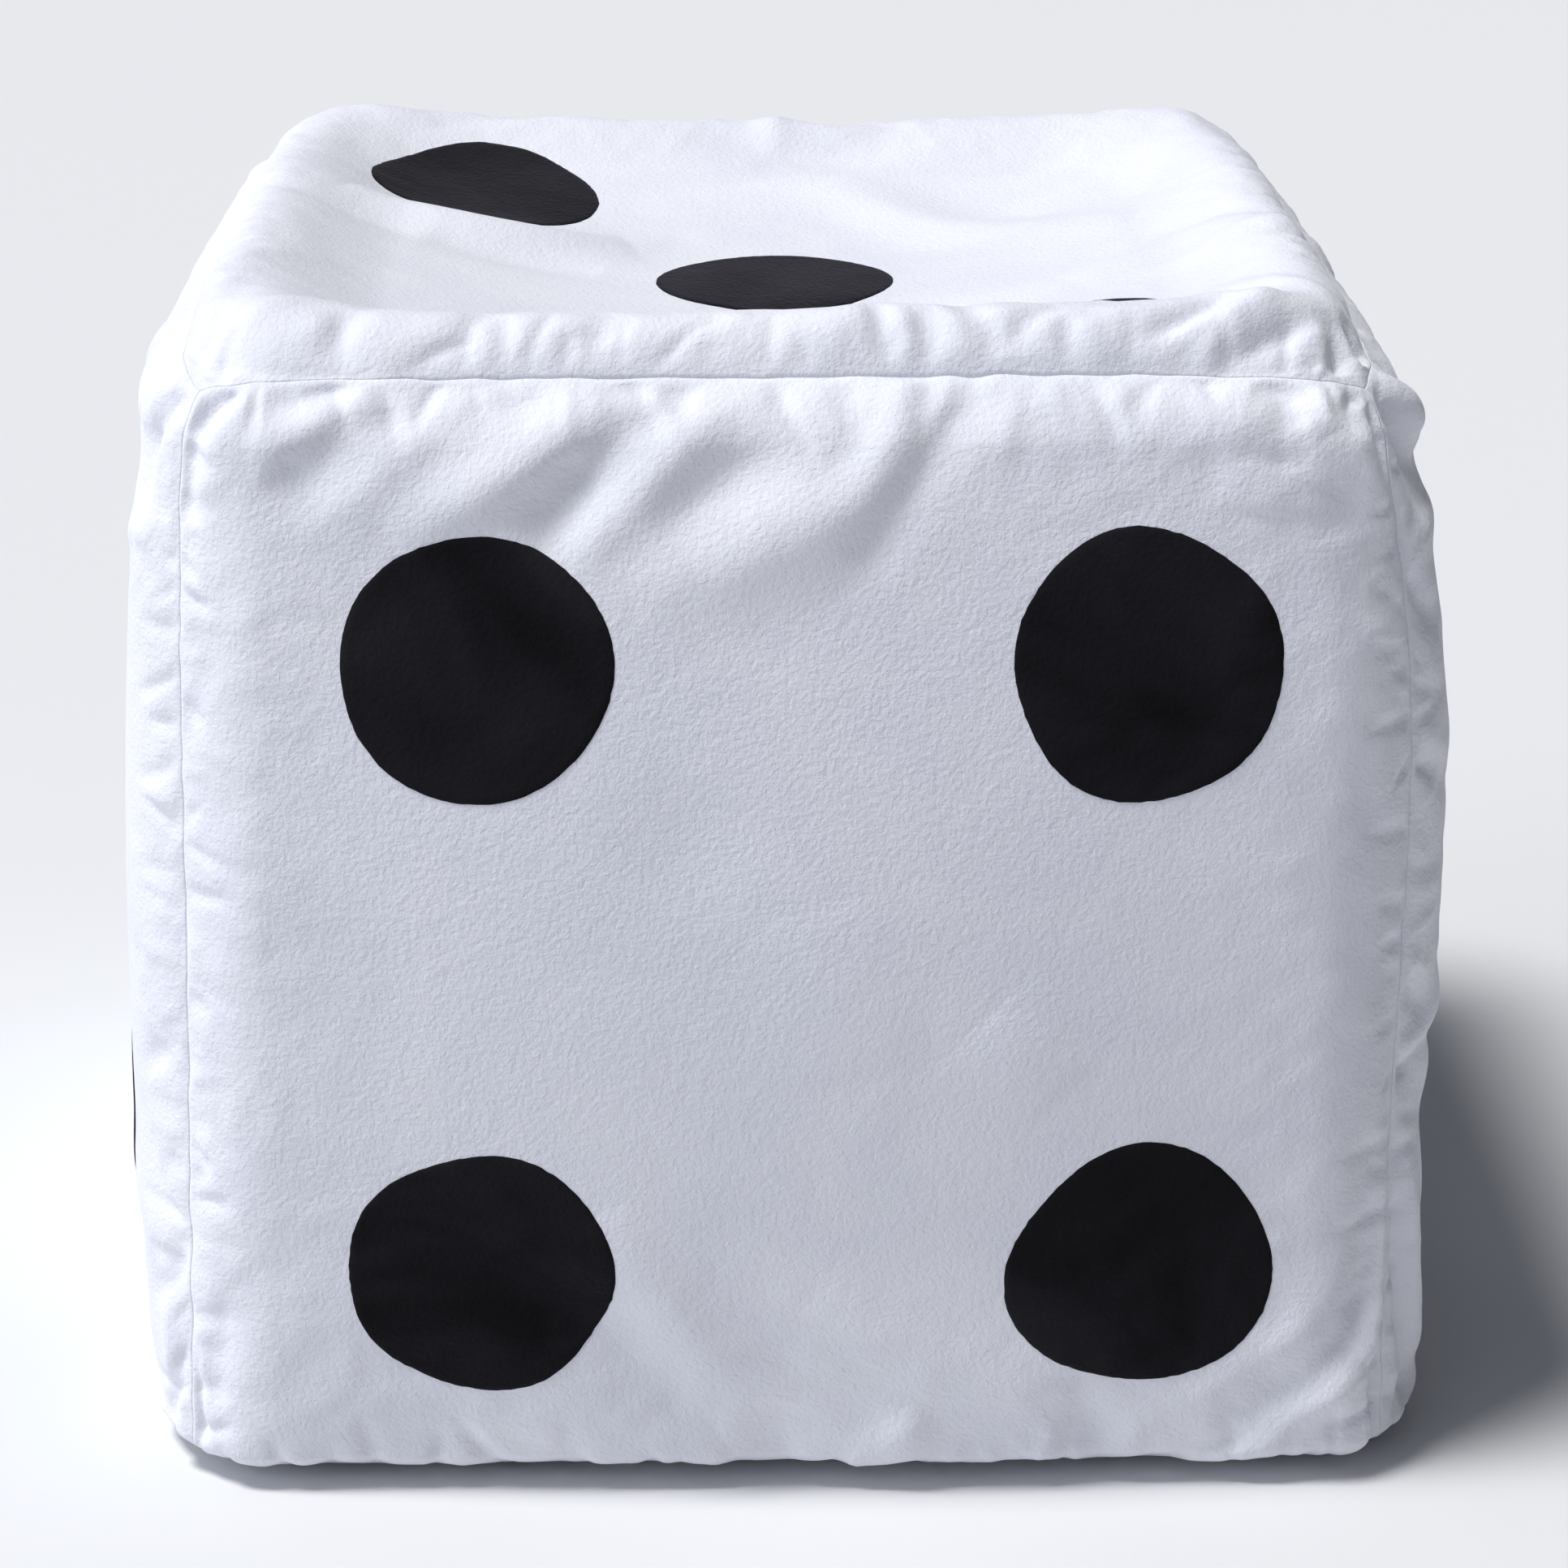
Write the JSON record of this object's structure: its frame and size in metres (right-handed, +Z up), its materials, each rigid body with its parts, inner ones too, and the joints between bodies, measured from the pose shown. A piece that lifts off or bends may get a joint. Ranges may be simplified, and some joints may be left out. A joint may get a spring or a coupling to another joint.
{
  "type": "giant yard die",
  "caption": "Large inflatable cube die for lawn games: a plush zip-off cover with inset round pips over an air bladder with tie webs and a stoppered valve.",
  "frame": {"origin": "on the ground under the middle of the die", "axes": "+Z up, -Y towards the viewer of the face with four pips, +X to that viewer's right"},
  "size_m": [0.597, 0.597, 0.5117],
  "materials": {
    "white_velour": "short-pile velour, matt",
    "black_velour": "short-pile velour, matt",
    "bladder_vinyl": "smooth vinyl film",
    "zip_tape": "woven tape",
    "zip_coil": "moulded nylon coil",
    "zip_metal": "white enamel over die-cast zinc",
    "label_satin": "satin ribbon, blank",
    "valve_vinyl": "soft moulded vinyl"
  },
  "bodies": {
    "die": {"cover_front": "white_velour", "cover_back": "white_velour", "cover_left": "white_velour", "cover_right": "white_velour", "cover_top": "white_velour", "cover_bottom": "white_velour", "pip_front_upper_left": "black_velour", "pip_front_upper_right": "black_velour", "pip_front_lower_left": "black_velour", "pip_front_lower_right": "black_velour", "pip_back_upper_left": "black_velour", "pip_back_upper_right": "black_velour", "pip_back_middle_left": "black_velour", "pip_back_middle_right": "black_velour", "pip_back_lower_left": "black_velour", "pip_back_lower_right": "black_velour", "pip_left_lower_front": "black_velour", "pip_left_upper_back": "black_velour", "pip_right_upper_front": "black_velour", "pip_right_upper_back": "black_velour", "pip_right_centre": "black_velour", "pip_right_lower_front": "black_velour", "pip_right_lower_back": "black_velour", "pip_top_back_left": "black_velour", "pip_top_centre": "black_velour", "pip_top_front_right": "black_velour", "pip_bottom_centre": "black_velour", "zip_tape_left": "zip_tape", "zip_tape_back": "zip_tape", "zip_coil_left": "zip_coil", "zip_coil_back": "zip_coil", "zip_bottom_stop": "zip_metal", "zip_top_stop": "zip_metal", "care_label": "label_satin", "bladder_front": "bladder_vinyl", "bladder_back": "bladder_vinyl", "bladder_left": "bladder_vinyl", "bladder_right": "bladder_vinyl", "bladder_top": "bladder_vinyl", "bladder_bottom": "bladder_vinyl", "tie_web_middle": "bladder_vinyl", "tie_web_left": "bladder_vinyl", "tie_web_right": "bladder_vinyl", "valve_body": "valve_vinyl", "valve_tether": "valve_vinyl"},
    "zip_slider": {"zip_slider": "zip_metal"},
    "zip_pull": {"zip_pull": "zip_metal"},
    "valve_plug": {"valve_plug": "valve_vinyl"},
    "valve_flap": {"valve_flap": "valve_vinyl"}
  },
  "joints": [
    {"name": "zip_slide", "type": "slide", "parent": "die", "child": "zip_slider", "axis": [0.0277, -0.0277, 0.9992], "range_m": [0, 0.3775]},
    {"name": "zip_pull_swing", "type": "hinge", "parent": "zip_slider", "child": "zip_pull", "pos_m": [-0.2645, 0.2645, 0.05634], "axis": [0.7071, 0.7071, 0], "range_deg": [0, 165]},
    {"name": "valve_plug_slide", "type": "slide", "parent": "die", "child": "valve_plug", "axis": [-0.0645, 0.9971, -0.0399], "range_m": [0, 0.008]},
    {"name": "valve_flap_swing", "type": "hinge", "parent": "die", "child": "valve_flap", "pos_m": [-0.14731, 0.26568, 0.12594], "axis": [-0.9978, -0.0638, 0.0183], "range_deg": [0, 25], "stiffness_Nm_per_rad": 0.0005}
  ]
}
